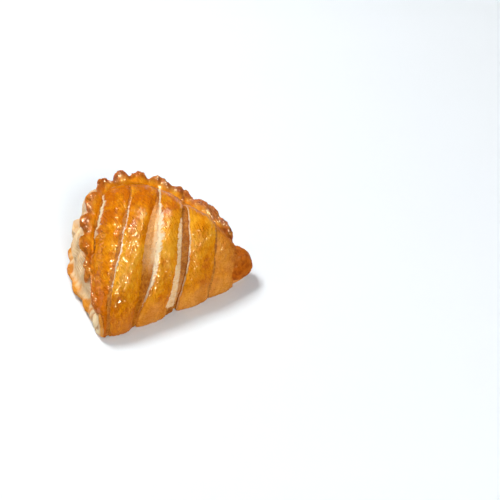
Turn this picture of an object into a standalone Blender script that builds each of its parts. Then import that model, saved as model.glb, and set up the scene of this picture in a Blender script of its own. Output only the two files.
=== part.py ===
"""Apple turnover: a fluted sheet of puff pastry folded over apple, slashed, glazed and baked.

It is one solid, flat underneath. The fold runs along X at the front, and the sealed, fluted
rim goes round the other sides. Z is up. Every size is in metres.
"""

import math

import bmesh
import bpy
from mathutils import Matrix, Vector

MM = 0.001

# The plan: a straight fold and a rim like half an ellipse
HALF_LENGTH = 52 * MM  # half of the fold, from the middle to a corner
DEPTH = 88 * MM  # from the fold's corners to the rim of the bottom sheet
FOLD_BULGE = 5 * MM  # how far the middle of the fold stands out past its corners
SIDE_POWER = 0.92  # below 1, the rim leaves the corners more squarely
FOLD_POWER = 0.45

# The crust's height
FOLD_START = 17 * MM  # at the fold's outermost line
FOLD_PLATEAU = 57 * MM  # what it tends to, away from the fold
FOLD_EASE = 50 * MM  # and how far away it gets there
FOLD_ROUND = 3.0
SEAM_PLATEAU = 62 * MM  # what it tends to, away from the rim
SEAM_EASE = 17 * MM
SHOULDER_ROUND = 6.0  # lower blends the two more widely
CREASE_INSET = 16 * MM  # from the bottom sheet's edge to the crease where the crust meets the rim
CREASE_DROP = 2.5 * MM

# The upper sheet's edge at even steps round the rim, from the right corner to the left:
# its height, and how far the upper and the lower edge spread past the plan
RIM_HEIGHTS = [z * MM for z in (15, 33, 36, 41, 45, 46.5, 46, 41, 35, 27, 18)]
UPPER_SPREAD = [d * MM for d in (0, 5, 3, 1.5, 0, -1, -1.5, -2, 0, 0, -1)]
LOWER_SPREAD = [d * MM for d in (0, 0, 0, 0, 0, 0, 2.5, 4.5, 3, -1, -4)]

# The fold's round side, upwards: inset from its outermost line, and height. Further in, it
# follows the crust
FOLD_SIDE = ((3.2, 0), (1.4, 0.9), (0.4, 3.2), (0, 7), (0, 11.5), (0.4, 16), (1.3, 20.5), (2.6, 24.5))
FOLD_TOP_INSETS = (4.4, 6.6, 9, 11.5, 14)

# The rim's side, upwards: inset from the plan, what the height is counted from, the height,
# and the share of the lower and of the upper sheet's flutes
RIM_SIDE = (
    (7.0, "floor", 0.0, 0.0, 0.0),
    (2.4, "floor", 0.8, 0.7, 0.0),
    (0.2, "floor", 3.0, 1.0, 0.0),
    (0.6, "floor", 5.8, 0.9, 0.0),
    (3.6, "floor", 8.4, 0.4, 0.0),
    (5.2, "wall", 0.3, 0.1, 0.0),
    (6.0, "wall", 0.65, 0.0, 0.0),
    (8.8, "wall", 1.0, 0.0, 0.1),
    (8.4, "rim", -5.6, 0.0, 0.8),
    (7.6, "rim", -2.6, 0.0, 1.0),
    (8.8, "rim", -0.2, 0.0, 0.9),
    (12.0, "rim", -0.8, 0.0, 0.5),
    (16.0, "rim", -2.5, 0.0, 0.0),
)
WALL_FROM = 9 * MM  # the wall between the sheets starts here, and ends this far below the edge
WALL_BELOW_RIM = 8.5 * MM

# Flutes: where the upper tips lie, as shares of the way round the rim. The lower tips lie between them
TIPS = (0.0, 0.074, 0.174, 0.266, 0.343, 0.415, 0.474, 0.541, 0.63, 0.702, 0.776, 0.855, 0.93, 1.0)
UPPER_FLUTE = 2.3 * MM  # half of the way from a valley to a tip
LOWER_FLUTE = 1.5 * MM
FLUTE_LIFT = 1 * MM
FLUTE_POWER = 1.2  # above 1, the tips are broad and the valleys narrow

# The end of the fold that shows as a round nose at the right corner
NOSE_AT = Vector((39.5, 5, 11.7)) * MM
NOSE_HALF_SIZE = Vector((13.2, 13, 11.6)) * MM

# Slashes, from left to right: X at even steps of Y + Z, which grows from the floor at the fold
# up and over the crust, then where the slash starts and ends in those terms, its width and
# its depth
SLASH_STEP = 30 * MM
SLASHES = (
    ("slash_1", (-56, -53, -40, -25, -9), 62, 110, 2.0, 2.2),
    ("slash_2", (-48, -41, -26.8, -10.5, 8), 1, 108, 3.0, 3.2),
    ("slash_3", (-28.5, -17, -7, 10.5, 33), 1, 100, 7.5, 4.6),
    ("slash_4", (-6, 7, 16.5, 34.5, 56), 1, 102, 6.5, 5.0),
    ("slash_5", (15, 29, 41, 59, 80), 1, 82, 2.2, 2.4),
    ("slash_6", (36, 44, 60, 80, 100), 1, 40, 1.8, 2.0),
)
CUTTER_ABOVE = 4 * MM  # how far a cutter stands out of the crust
CUTTER_STEP = 4.5  # millimetres from one of its sections to the next
STRIP_CROWN = 1.6 * MM  # how far a strip swells between its slashes
EDGE_STRIP = 18 * MM  # width of the strips outside the first and the last slash

CRUST_COLOUR = (0.62, 0.27, 0.06, 1.0)
CRUST_ROUGHNESS = 0.42

SEAM_SEGMENTS = 120
FOLD_SEGMENTS = 34
DOME_RINGS = 12
UNDERSIDE_RINGS = 2
CORNER_BLEND = 0.05  # share of the rim over which it turns into the fold
CENTRE = (0.0, 0.45 * DEPTH)


def mix(a, b, share):
    return a + (b - a) * share


def smoothstep(x):
    x = min(1.0, max(0.0, x))
    return x * x * (3 - 2 * x)


def smooth_least(a, b):
    """About the lesser of two heights, rounded off where they meet."""
    return (a**-SHOULDER_ROUND + b**-SHOULDER_ROUND) ** (-1 / SHOULDER_ROUND)


def table(values, share):
    """A rounded curve through evenly spaced values."""
    place = min(max(share, 0.0), 1.0) * (len(values) - 1)
    i = min(int(place), len(values) - 2)
    t = place - i
    return mix(values[i], values[i + 1], (t + smoothstep(t)) / 2)


def outline(turn, inset):
    """A point of the plan, moved inwards. turn is 0 to 1 along the rim and 1 to 2 along the fold."""
    c, s = math.cos(math.pi * turn), abs(math.sin(math.pi * turn))
    bulge = FOLD_BULGE * (1 - inset / (FOLD_TOP_INSETS[-1] * MM))
    start = inset - (FOLD_BULGE - bulge)
    half = math.copysign(HALF_LENGTH - inset, c)
    if turn <= 1:
        return half * abs(c) ** SIDE_POWER, mix(start, DEPTH - inset, s)
    return half * abs(c) ** FOLD_POWER, start - bulge * s**0.9


def even_turns():
    """Turns at even distances round the plan, each with the share of the rim passed."""
    turns = []
    for begin, count in ((0.0, SEAM_SEGMENTS), (1.0, FOLD_SEGMENTS)):
        fine = [begin + i / 2000 for i in range(2001)]
        points = [outline(turn, 0.0) for turn in fine]
        passed = [0.0]
        for a, b in zip(points, points[1:]):
            passed.append(passed[-1] + math.dist(a, b))
        j = 0
        for i in range(count):
            while passed[j + 1] < passed[-1] * i / count:
                j += 1
            turns.append((fine[j], passed[j] / passed[-1] if begin == 0 else 0.0))
    return turns


def rim_weight(turn):
    """1 on the rim and 0 on the fold."""
    if turn > 1:
        return 0.0
    return smoothstep(turn / CORNER_BLEND) * smoothstep((1 - turn) / CORNER_BLEND)


def flute(along, shift):
    """The cutter's scallops as a wave, -1 in a valley and 1 on a tip."""
    i = 0
    while i < len(TIPS) - 2 and TIPS[i + 1] < along:
        i += 1
    phase = (along - TIPS[i]) / (TIPS[i + 1] - TIPS[i]) + shift
    return 2 * abs(math.cos(math.pi * phase)) ** FLUTE_POWER - 1


def rim_limit(x, y):
    """The height to which the sealed rim holds the crust down here."""
    u, v = x / HALF_LENGTH, max(y, 0.0) / DEPTH
    out = math.hypot(u, v)
    turn = math.atan2(v, u) / math.pi if out > 0 else 0.5
    reach = math.hypot(HALF_LENGTH * math.cos(math.pi * turn), DEPTH * math.sin(math.pi * turn))
    held = CREASE_INSET * min(1.0, 1.6 * math.sin(math.pi * turn)) ** 0.7
    climb = 1 - math.exp(-max(0.0, reach * (1 - out) - held) / SEAM_EASE)
    return mix(table(RIM_HEIGHTS, turn) - CREASE_DROP, SEAM_PLATEAU, climb)


def fold_edge(x):
    """Y of the fold's outermost line."""
    return -FOLD_BULGE * max(0.0, 1 - (x / HALF_LENGTH) ** 2) ** 0.5


def crust_height(x, y):
    left = min(1.0, max(0.0, 1 - (y - fold_edge(x)) / FOLD_EASE))
    return smooth_least(mix(FOLD_PLATEAU, FOLD_START, left**FOLD_ROUND), rim_limit(x, y))


def side_point(turn, along, level):
    """A point of the side, from level 0 underneath to the last level, the edge of the crust."""
    inset, base, rise, lower_share, upper_share = RIM_SIDE[level]
    weight = rim_weight(turn)
    spread = table(UPPER_SPREAD if base == "rim" else LOWER_SPREAD, turn)
    if level < len(FOLD_SIDE):
        fold_inset = FOLD_SIDE[level][0] * MM
    else:
        fold_inset = FOLD_TOP_INSETS[level - len(FOLD_SIDE)] * MM
    x, y = outline(turn, mix(fold_inset, inset * MM - spread, weight))
    if level < len(FOLD_SIDE):
        limit = rim_limit(x, y)
        fold_z = FOLD_SIDE[level][1] * MM * limit / (limit + 6 * MM)
    else:
        fold_z = crust_height(x, y)
    rim = table(RIM_HEIGHTS, turn)
    if base == "wall":
        rim_z = mix(WALL_FROM, rim - WALL_BELOW_RIM, rise)
    else:
        rim_z = rise * MM + (rim if base == "rim" else 0.0)
    upper = upper_share * flute(along, 0.0) * weight
    lower = lower_share * flute(along, 0.5) * weight * min(1.0, 8 * max(0.0, 1 - turn))
    out = Vector((x / HALF_LENGTH**2, max(y, 0.0) / DEPTH**2))
    out = out.normalized() * (LOWER_FLUTE * lower + UPPER_FLUTE * upper)
    return x + out.x, y + out.y, mix(fold_z, rim_z, weight) + FLUTE_LIFT * upper


def slash_x(line, run):
    """X of a slash's line where Y + Z is run, on a smooth curve through the line's values."""
    place = min(max(run / SLASH_STEP, 0.0), len(line) - 1.001)
    i = int(place)
    t = place - i
    a, b = line[i], line[i + 1]
    slope_a = (b - line[max(i - 1, 0)]) / 2
    slope_b = (line[min(i + 2, len(line) - 1)] - a) / 2
    bend = 2 * (a - b) + slope_a + slope_b
    return (a + t * (slope_a + t * (b - a - slope_a - bend + t * bend))) * MM


def strip_crown(x, run):
    """How far the crust swells here, by its place between two slashes."""
    lines = [slash_x(line, run) for _, line, *_ in SLASHES]
    lines = [lines[0] - EDGE_STRIP, *lines, lines[-1] + EDGE_STRIP]
    for left, right in zip(lines, lines[1:]):
        if left <= x < right:
            return STRIP_CROWN * (math.sin(math.pi * (x - left) / (right - left)) ** 0.7 - 0.5)
    return 0.0


def dome_point(turn, along, share):
    """A point of the crust, from its edge, share 1, to the middle, share 0."""
    edge = side_point(turn, along, len(RIM_SIDE) - 1)
    x, y = mix(CENTRE[0], edge[0], share), mix(CENTRE[1], edge[1], share)
    z = crust_height(x, y)
    held = (edge[2] - crust_height(edge[0], edge[1])) * smoothstep((share - 0.7) / 0.3)
    return x, y, z + held + strip_crown(x, y + z) * smoothstep((1 - share) / 0.15)


def turnover_rings():
    """The body's rings, from the middle of the underside, up the sides and over the crust."""
    turns = even_turns()
    foot = [side_point(turn, along, 0) for turn, along in turns]
    rings = []
    for i in range(1, UNDERSIDE_RINGS + 1):
        share = i / (UNDERSIDE_RINGS + 1)
        rings.append([(mix(CENTRE[0], x, share), mix(CENTRE[1], y, share), 0.0) for x, y, _ in foot])
    for level in range(len(RIM_SIDE)):
        rings.append([side_point(turn, along, level) for turn, along in turns])
    for i in range(1, DOME_RINGS):
        rings.append([dome_point(turn, along, 1 - i / DOME_RINGS) for turn, along in turns])
    return rings


def loft(name, rings, poles, collection):
    """A closed skin over rings of points, closed by one point at each end."""
    shape = bmesh.new()
    rows = [[shape.verts.new(point) for point in ring] for ring in rings]
    first, last = (shape.verts.new(pole) for pole in poles)
    count = len(rows[0])
    for i in range(count):
        j = (i + 1) % count
        shape.faces.new((rows[0][j], rows[0][i], first))
        shape.faces.new((rows[-1][i], rows[-1][j], last))
        for low, high in zip(rows, rows[1:]):
            shape.faces.new((low[i], low[j], high[j], high[i]))
    mesh = bpy.data.meshes.new(name)
    shape.to_mesh(mesh)
    shape.free()
    mesh.shade_smooth()
    made = bpy.data.objects.new(name, mesh)
    collection.objects.link(made)
    return made


def fold_side_inset(z):
    """Inset of the fold's round side at this height."""
    for (inset_a, z_a), (inset_b, z_b) in zip(FOLD_SIDE, FOLD_SIDE[1:]):
        if z <= z_b * MM:
            return mix(inset_a, inset_b, max(0.0, (z / MM - z_a) / (z_b - z_a))) * MM
    return FOLD_SIDE[-1][0] * MM


def on_crust(x, run):
    """The point at this X where Y + Z is run, on the fold's side or the crust, and the way out of it."""
    edge = fold_edge(x)
    side_top = FOLD_SIDE[-1][1] * MM
    if run < edge + fold_side_inset(side_top) + side_top:
        z = run - edge
        for _ in range(8):
            z = run - edge - fold_side_inset(z)
        return Vector((x, edge + fold_side_inset(z), z)), Vector((0, -1, 0.2 * z / side_top)).normalized()
    low, high = edge, DEPTH
    for _ in range(30):
        y = (low + high) / 2
        low, high = (y, high) if y + crust_height(x, y) < run else (low, y)
    step = 0.5 * MM
    slope_x = (crust_height(x + step, y) - crust_height(x - step, y)) / (2 * step)
    slope_y = (crust_height(x, y + step) - crust_height(x, y - step)) / (2 * step)
    return Vector((x, y, crust_height(x, y))), Vector((-slope_x, -slope_y, 1)).normalized()


def add_slash_cutter(name, line, start, end, width, depth, collection):
    """A wedge that follows the crust along a slash, widest and deepest in its middle."""
    sections = []
    count = int((end - start) / CUTTER_STEP)
    for i in range(count + 1):
        run = mix(start, end, i / count) * MM
        point, out = on_crust(slash_x(line, run), run)
        ahead, _ = on_crust(slash_x(line, run + 2 * MM), run + 2 * MM)
        middle = math.sin(math.pi * i / count) ** 0.8
        across = (ahead - point).cross(out).normalized() * width * MM / 2 * mix(0.3, 1.0, middle)
        down = out * depth * MM * mix(0.65, 1.0, middle)
        up = out * CUTTER_ABOVE
        sections.append(
            [
                point + across,
                point - down + across * 0.3,
                point - down - across * 0.3,
                point - across,
                point + up - across * 1.3,
                point + up + across * 1.3,
            ]
        )
    poles = [sum(section, Vector()) / len(section) for section in (sections[0], sections[-1])]
    cutter = loft(name, sections, poles, collection)
    cutter.hide_render = True
    cutter.display_type = "WIRE"
    return cutter


def join_nose(body):
    """Joins the round nose to the right corner."""
    bpy.ops.mesh.primitive_uv_sphere_add(segments=28, ring_count=16, radius=1.0, location=NOSE_AT)
    nose = bpy.context.object
    nose.scale = NOSE_HALF_SIZE
    join = body.modifiers.new("nose", "BOOLEAN")
    join.operation = "UNION"
    join.solver = "EXACT"
    join.object = nose
    bpy.context.view_layer.objects.active = body
    bpy.ops.object.modifier_apply(modifier=join.name)
    bpy.data.objects.remove(nose)


def move_to_origin(body, others):
    """Puts the origin in the middle of the body's underside, for the body and for what goes with it."""
    corners = [Vector(corner) for corner in body.bound_box]
    middle = sum(corners, Vector()) / len(corners)
    move = Matrix.Translation((-middle.x, -middle.y, 0))
    for moved in (body, *others):
        moved.data.transform(move)


def crust_material():
    material = bpy.data.materials.new("baked_crust")
    material.use_nodes = True
    shader = material.node_tree.nodes["Principled BSDF"]
    shader.inputs["Base Color"].default_value = CRUST_COLOUR
    shader.inputs["Roughness"].default_value = CRUST_ROUGHNESS
    shader.inputs["Metallic"].default_value = 0.0
    return material


def main():
    for old in list(bpy.data.objects):
        bpy.data.objects.remove(old)
    parts = bpy.data.collections.new("apple_turnover")
    cutters = bpy.data.collections.new("cutters")
    for collection in (parts, cutters):
        bpy.context.scene.collection.children.link(collection)
    top = (*CENTRE, crust_height(*CENTRE))
    turnover = loft("turnover", turnover_rings(), ((*CENTRE, 0.0), top), parts)
    join_nose(turnover)
    slashes = [add_slash_cutter(*slash, cutters) for slash in SLASHES]
    move_to_origin(turnover, slashes)
    for cutter in slashes:
        cut = turnover.modifiers.new(cutter.name, "BOOLEAN")
        cut.operation = "DIFFERENCE"
        cut.solver = "EXACT"
        cut.object = cutter
    turnover.data.materials.append(crust_material())


main()
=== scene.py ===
import itertools
import math

import bpy
import numpy as np
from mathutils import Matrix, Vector


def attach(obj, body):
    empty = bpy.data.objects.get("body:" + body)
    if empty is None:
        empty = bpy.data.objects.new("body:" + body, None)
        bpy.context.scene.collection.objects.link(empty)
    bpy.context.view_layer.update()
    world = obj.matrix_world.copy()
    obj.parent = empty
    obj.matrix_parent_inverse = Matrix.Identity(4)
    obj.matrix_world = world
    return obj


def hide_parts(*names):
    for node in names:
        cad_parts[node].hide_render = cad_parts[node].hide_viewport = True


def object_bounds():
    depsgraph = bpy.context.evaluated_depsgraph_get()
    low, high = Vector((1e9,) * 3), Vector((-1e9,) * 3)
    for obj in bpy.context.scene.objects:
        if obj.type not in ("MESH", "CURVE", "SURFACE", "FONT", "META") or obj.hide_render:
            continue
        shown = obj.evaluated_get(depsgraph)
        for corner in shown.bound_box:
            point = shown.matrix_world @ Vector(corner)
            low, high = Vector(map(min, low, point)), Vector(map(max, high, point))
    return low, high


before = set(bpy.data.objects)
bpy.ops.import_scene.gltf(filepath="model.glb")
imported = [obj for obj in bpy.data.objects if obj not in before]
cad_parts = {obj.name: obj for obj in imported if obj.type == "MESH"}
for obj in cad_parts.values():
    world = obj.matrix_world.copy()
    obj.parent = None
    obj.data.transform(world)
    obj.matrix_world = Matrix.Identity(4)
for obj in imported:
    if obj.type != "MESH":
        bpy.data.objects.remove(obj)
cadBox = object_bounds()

# Shapes are worked out in millimetres, with the middle of the fold at the origin and the rim
# towards +Y. inFrame() turns them into metres in the part's own frame.

pastry = {
    "halfLength": 52.0,  # half of the fold
    "depth": 88.0,  # from the fold's corners to the rim
    "foldBulge": 5.0,  # how far the middle of the fold stands out
    "bulgeFades": 14.0,  # inset at which the fold is straight
    "foldPower": 0.45,  # how square the fold's corners are
    "rimPower": 0.92,
    "foldSquash": 6.0,  # how much a low crust squashes the fold's side
    "foldStart": 17.0,  # crust height above the fold
    "foldPlateau": 57.0,  # and what it tends to, away from it
    "foldEase": 50.0,
    "seamPlateau": 62.0,  # crust height away from the rim
    "seamEase": 17.0,
    "creaseInset": 16.0,  # from the rim to where the strips meet it
    "creaseDrop": 2.5,
    "creaseTuck": 3.0,  # how far dough may go past the crease
    "sharpness": 6.0,  # how sharp the dip at the rim is
    "rimHeights": (15, 33, 36, 41, 45, 46.5, 46, 41, 35, 27, 18),  # right corner to left corner
    "upperSpread": (0, 5, 3, 1.5, 0, -1, -1.5, -2, 0, 0, -1),  # how far the rim spreads there
    "lowerSpread": (0, 0, 0, 0, 0, 0, 2.5, 4.5, 3, -1, -4),  # and the lower sheet's edge
    # the tips of the rim's flutes, as shares of the way along it
    "tips": (0, 0.074, 0.174, 0.266, 0.343, 0.415, 0.474, 0.541, 0.63, 0.702, 0.776, 0.855, 0.93, 1.0),
    "centre": (0.0, 39.6),
    "toFrame": (-0.35, -40.698, 0.0),
}


def mix(a, b, share):
    return a + (b - a) * share


def ease(x, start=0, width=1):  # from 0 at the start to 1 a width past it, smoothly
    x = np.clip((x - start) / width, 0, 1)
    return x * x * (3 - 2 * x)


def rounded(values, share):  # a rounded curve through evenly spaced values
    values = np.asarray(values, float)
    place = np.clip(share, 0, 1) * (len(values) - 1)
    i = np.minimum(place.astype(int), len(values) - 2)
    t = place - i
    return mix(values[i], values[i + 1], (t + ease(t)) / 2)


def through(values, place):  # a smooth curve through the rows of values; place counts rows
    values = np.asarray(values, float)
    place = np.clip(place, 0, len(values) - 1.001)
    i = place.astype(int)
    t = (place - i).reshape((-1,) + (1,) * (values.ndim - 1)) if values.ndim > 1 else place - i
    a, b = values[i], values[i + 1]
    slopeA = (b - values[np.maximum(i - 1, 0)]) / 2
    slopeB = (values[np.minimum(i + 2, len(values) - 1)] - a) / 2
    bend = 2 * (a - b) + slopeA + slopeB
    return a + t * (slopeA + t * (b - a - slopeA - bend + t * bend))


dice = np.random.default_rng(41)
shuffle = np.tile(dice.permutation(256), 2)
leans = dice.normal(size=(256, 3))
leans /= np.linalg.norm(leans, axis=1, keepdims=True)


def noise(points, size, seed):  # smooth noise, about -1 to 1, with lumps of this size
    p = points / np.asarray(size, float) + 19.7 * seed + 100.3
    cell = np.floor(p).astype(int)
    f = p - cell
    fade = f * f * f * (f * (f * 6 - 15) + 10)
    total = np.zeros(p.shape[:-1])
    for corner in itertools.product((0, 1), repeat=3):
        c = (cell + corner) & 255
        lean = leans[shuffle[shuffle[shuffle[c[..., 0]] + c[..., 1]] + c[..., 2]]]
        weight = np.prod(np.where(corner, fade, 1 - fade), axis=-1)
        total += weight * ((f - corner) * lean).sum(-1)
    return total * 1.7


def lumpy(values, points, *lumps):  # adds noise to the values: strength, size, seed
    for strength, size, seed in lumps:
        values = values + strength * noise(points, size, seed)
    return values


def hump(x, width):  # 1 at 0, and nearly 0 past twice the width
    return np.exp(-((x / width) ** 2))


def ridges(points, size, seed):  # 1 along thin crooked lines, 0 away from them
    return np.clip(1 - 3.2 * np.abs(noise(points, size, seed)), 0, 1)


def sheetNormals(grid, wrap=False):
    across = np.roll(grid, -1, 1) - np.roll(grid, 1, 1) if wrap else np.gradient(grid, axis=1)
    out = np.cross(across, np.gradient(grid, axis=0))
    return out / (np.linalg.norm(out, axis=-1, keepdims=True) + 1e-9)


def foldBulge(inset):
    return pastry["foldBulge"] * (1 - inset / pastry["bulgeFades"])


def squashed(rise, limit):  # a level of the fold's side under a crust of this height
    return rise * limit / (limit + pastry["foldSquash"])


def planOutline(turn, inset):  # 0 to 1 along the rim, 1 to 2 along the fold
    c, s = np.cos(np.pi * turn), np.abs(np.sin(np.pi * turn))
    bulge = foldBulge(inset)
    start = inset - (pastry["foldBulge"] - bulge)
    half = np.copysign(pastry["halfLength"] - inset, c)
    onRim = turn <= 1
    x = half * np.abs(c) ** np.where(onRim, pastry["rimPower"], pastry["foldPower"])
    return x, np.where(onRim, mix(start, pastry["depth"] - inset, s), start - bulge * s**0.9)


def fluteWave(passed, shift):  # -1 in a valley of the rim's flutes and 1 on a tip
    tips = np.array(pastry["tips"])
    i = np.clip(np.searchsorted(tips, passed, side="left") - 1, 0, len(tips) - 2)
    phase = (passed - tips[i]) / (tips[i + 1] - tips[i]) + shift
    return 2 * np.abs(np.cos(np.pi * phase)) ** 1.2 - 1


def rimTerms(x, y):  # turn about the fold's middle, and distance inside the crease
    u, v = x / pastry["halfLength"], np.maximum(y, 0) / pastry["depth"]
    turn = np.where(np.hypot(u, v) > 0, np.arctan2(v, u) / np.pi, 0.5)
    reach = np.hypot(pastry["halfLength"] * np.cos(np.pi * turn), pastry["depth"] * np.sin(np.pi * turn))
    held = pastry["creaseInset"] * np.minimum(1.0, 1.6 * np.abs(np.sin(np.pi * turn))) ** 0.7
    return turn, reach * (1 - np.hypot(u, v)) - held


def rimLimit(x, y):
    turn, inside = rimTerms(x, y)
    climb = 1 - np.exp(-np.maximum(0, inside) / pastry["seamEase"])
    return mix(rounded(pastry["rimHeights"], turn) - pastry["creaseDrop"], pastry["seamPlateau"], climb)


def crustHeight(x, y):
    edge = -pastry["foldBulge"] * np.sqrt(np.maximum(0, 1 - (x / pastry["halfLength"]) ** 2))
    left = np.clip(1 - (y - edge) / pastry["foldEase"], 0, 1)
    front = mix(pastry["foldPlateau"], pastry["foldStart"], left**3)
    sharp = pastry["sharpness"]
    return (front**-sharp + rimLimit(x, y) ** -sharp) ** (-1 / sharp)


# The fold's side and the rim's side, upwards, as the CAD has them
foldSide = ((3.2, 0), (1.4, 0.9), (0.4, 3.2), (0, 7), (0, 11.5), (0.4, 16), (1.3, 20.5), (2.6, 24.5))
foldTop = (4.4, 6.6, 9, 11.5, 14)
rimSide = (  # inset, base, rise, shares of the lower and of the upper flutes
    (7, "floor", 0, 0, 0), (2.4, "floor", 0.8, 0.7, 0), (0.2, "floor", 3, 1, 0),
    (0.6, "floor", 5.8, 0.9, 0), (3.6, "floor", 8.4, 0.4, 0), (5.2, "wall", 0.3, 0.1, 0),
    (6, "wall", 0.65, 0, 0), (8.8, "wall", 1, 0, 0.1), (8.4, "rim", -5.6, 0, 0.8),
    (7.6, "rim", -2.6, 0, 1), (8.8, "rim", -0.2, 0, 0.9), (12, "rim", -0.8, 0, 0.5),
    (16, "rim", -2.5, 0, 0),
)

# The strips' skin, looked up by x and by run, the way up the fold's side and over the crust.
# Run is y + z there, and goes on at the same pace below the fold's widest line.
runFloor, runTop = -5.5, 124.0
skinX = np.linspace(-51.5, 51.5, 207)
skinRun = np.linspace(runFloor, runTop, 520)


def skinSection(x):
    insets = np.array([inset for inset, _ in foldSide] + list(foldTop))
    c = np.minimum(1, abs(x) / (pastry["halfLength"] - insets)) ** (1 / pastry["foldPower"])
    y = insets - pastry["foldBulge"] + foldBulge(insets) * (1 - np.sqrt(1 - c * c) ** 0.9)
    limit = rimLimit(np.full_like(y, x), y)
    low = len(foldSide)
    z = crustHeight(np.full_like(y, x), y)
    z[:low] = squashed(np.array([rise for _, rise in foldSide]), limit[:low])
    fine = np.linspace(0, len(y) - 1, 90)
    y, z = through(y, fine), np.maximum(0, through(z, fine))
    farY = np.arange(y[-1] + 0.5, 96, 0.5)
    y, z = np.append(y, farY), np.append(z, crustHeight(np.full_like(farY, x), farY))
    widest = int(np.argmin(np.abs(z - 3.0)))
    run = y + z
    steps = np.hypot(np.diff(y), np.diff(z))
    run[:widest] = run[widest] - np.cumsum(steps[:widest][::-1])[::-1]
    below = run < 3
    run[below] = mix(runFloor, 3, (run[below] - run[0]) / (3 - run[0]))
    run = np.maximum.accumulate(run + np.arange(len(run)) * 1e-6)
    return np.interp(skinRun, run, y), np.interp(skinRun, run, z)


skin = np.array([np.stack(skinSection(x), -1) for x in skinX])
for _ in range(6):  # rounds off the joins between the levels
    skin[:, 1:-1] = skin[:, 1:-1] / 2 + (skin[:, 2:] + skin[:, :-2]) / 4
print("skin ready")


def onSkin(x, run):
    x, run = np.broadcast_arrays(x, run)
    px = np.clip((x - skinX[0]) / (skinX[1] - skinX[0]), 0, len(skinX) - 1.001)
    pr = np.clip((run - skinRun[0]) / (skinRun[1] - skinRun[0]), 0, len(skinRun) - 1.001)
    i, j = px.astype(int), pr.astype(int)
    s, t = (px - i)[..., None], (pr - j)[..., None]
    yz = mix(mix(skin[i, j], skin[i + 1, j], s), mix(skin[i, j + 1], skin[i + 1, j + 1], s), t)
    return np.concatenate([x[..., None], yz], -1)


def heldBack(base, amount=1.0):  # points that would come out past the rim stay just under it
    inside = rimTerms(base[..., 0], base[..., 1])[1]
    reach = np.hypot(base[..., 0], base[..., 1]) + 1e-6
    share = 1 - amount * np.maximum(0, -pastry["creaseTuck"] - inside) / reach
    held = base[..., :2] * share[..., None]
    height = crustHeight(held[..., 0], held[..., 1])[..., None]
    return np.where((share < 1)[..., None], np.concatenate([held, height], -1), base), inside


slashes = {
    "step": 15.0,  # millimetres of run between the values
    # x of each slash's middle. The first one, the left end of the first strip, is also the
    # sheet's free edge low down
    "lines": (
        (-50.3, -49.9, -50.4, -45.6, -40.2, -33.2, -25.8, -16.6, -7.5),
        (-47.5, -45.7, -41.9, -36.2, -28.4, -20.1, -10.8, -0.2, 8),
        (-30.2, -24.2, -18.2, -13.1, -7.6, -0.4, 9.9, 22.8, 33),
        (-6.1, -0.8, 5.0, 9.9, 14.6, 22.6, 34.8, 46, 56),
        (17.3, 21.8, 26.1, 31.2, 38.2, 47, 56, 66, 76),
        (36.8, 40.2, 45, 51.3, 60, 69.8, 80, 90, 100),
    ),
    # how far each slash is open, at the same places
    "open": (
        (0.3, 0.3, 0.3, 0.3, 0.6, 0.9, 0.9, 0.6, 0.4),
        (1.3, 1.2, 1.1, 0.9, 0.8, 0.8, 0.9, 1.1, 0.8),
        (1.6, 3.4, 6.0, 7.4, 7.2, 5.8, 2.4, 1.3, 0.8),
        (7.2, 7.2, 7.4, 7.2, 6.4, 3.8, 0.7, 0.5, 0.4),
        (0.5, 0.3, 0.1, 0.1, 0.1, 0.1, 0.1, 0.1, 0.1),
        (0.4, 0.4, 0.4, 0.4, 0.4, 0.4, 0.4, 0.4, 0.4),
    ),
}


def byRun(values, run):
    return through(values, np.asarray(run) / slashes["step"])


def slashX(k, run):
    return byRun(slashes["lines"][k], run)


def slashOpen(k, run):
    return byRun(slashes["open"][k], run)


def inFrame(points):
    return (points + pastry["toFrame"]) * 0.001


def insideBox(placed):  # never past the CAD's box
    return np.clip(placed, *np.array(cadBox))


def addObject(name, data):
    made = bpy.data.objects.new(name, data)
    bpy.context.scene.collection.objects.link(made)
    return made


def addMasks(mesh, masks):  # values from 0 to 1 that the colours follow; a missing mask is 0
    for mask, values in masks.items():
        values = np.broadcast_to(np.clip(values, 0, 1), len(mesh.vertices))
        mesh.attributes.new(mask, "FLOAT", "POINT").data.foreach_set("value", values.astype(np.float32))


def withEnds(parts):  # a mask's parts, side by side, and their means for the two end points
    values = np.concatenate(parts, 1)
    return np.append(values, [values[0].mean(), values[-1].mean()])


def addLoft(name, rings, masks, ends=None):  # a closed skin over rings of points
    rows, columns = rings.shape[:2]
    if ends is None:
        ends = [rings[0].mean(0), rings[-1].mean(0)]
    last = (rows - 1) * columns
    pairs = [(c, (c + 1) % columns) for c in range(columns)]
    faces = []
    for low in range(0, last, columns):
        faces += [(low + c, low + d, low + columns + d, low + columns + c) for c, d in pairs]
    for c, d in pairs:
        faces += [(d, c, last + columns), (last + c, last + d, last + columns + 1)]
    mesh = bpy.data.meshes.new(name)
    placed = inFrame(np.concatenate([rings.reshape(-1, 3), ends]))
    mesh.from_pydata(insideBox(placed).tolist(), [], faces)
    addMasks(mesh, {mask: withEnds(parts) for mask, parts in masks.items()})
    mesh.shade_smooth()
    mesh.materials.append(material)
    return addObject(name, mesh)


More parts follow.
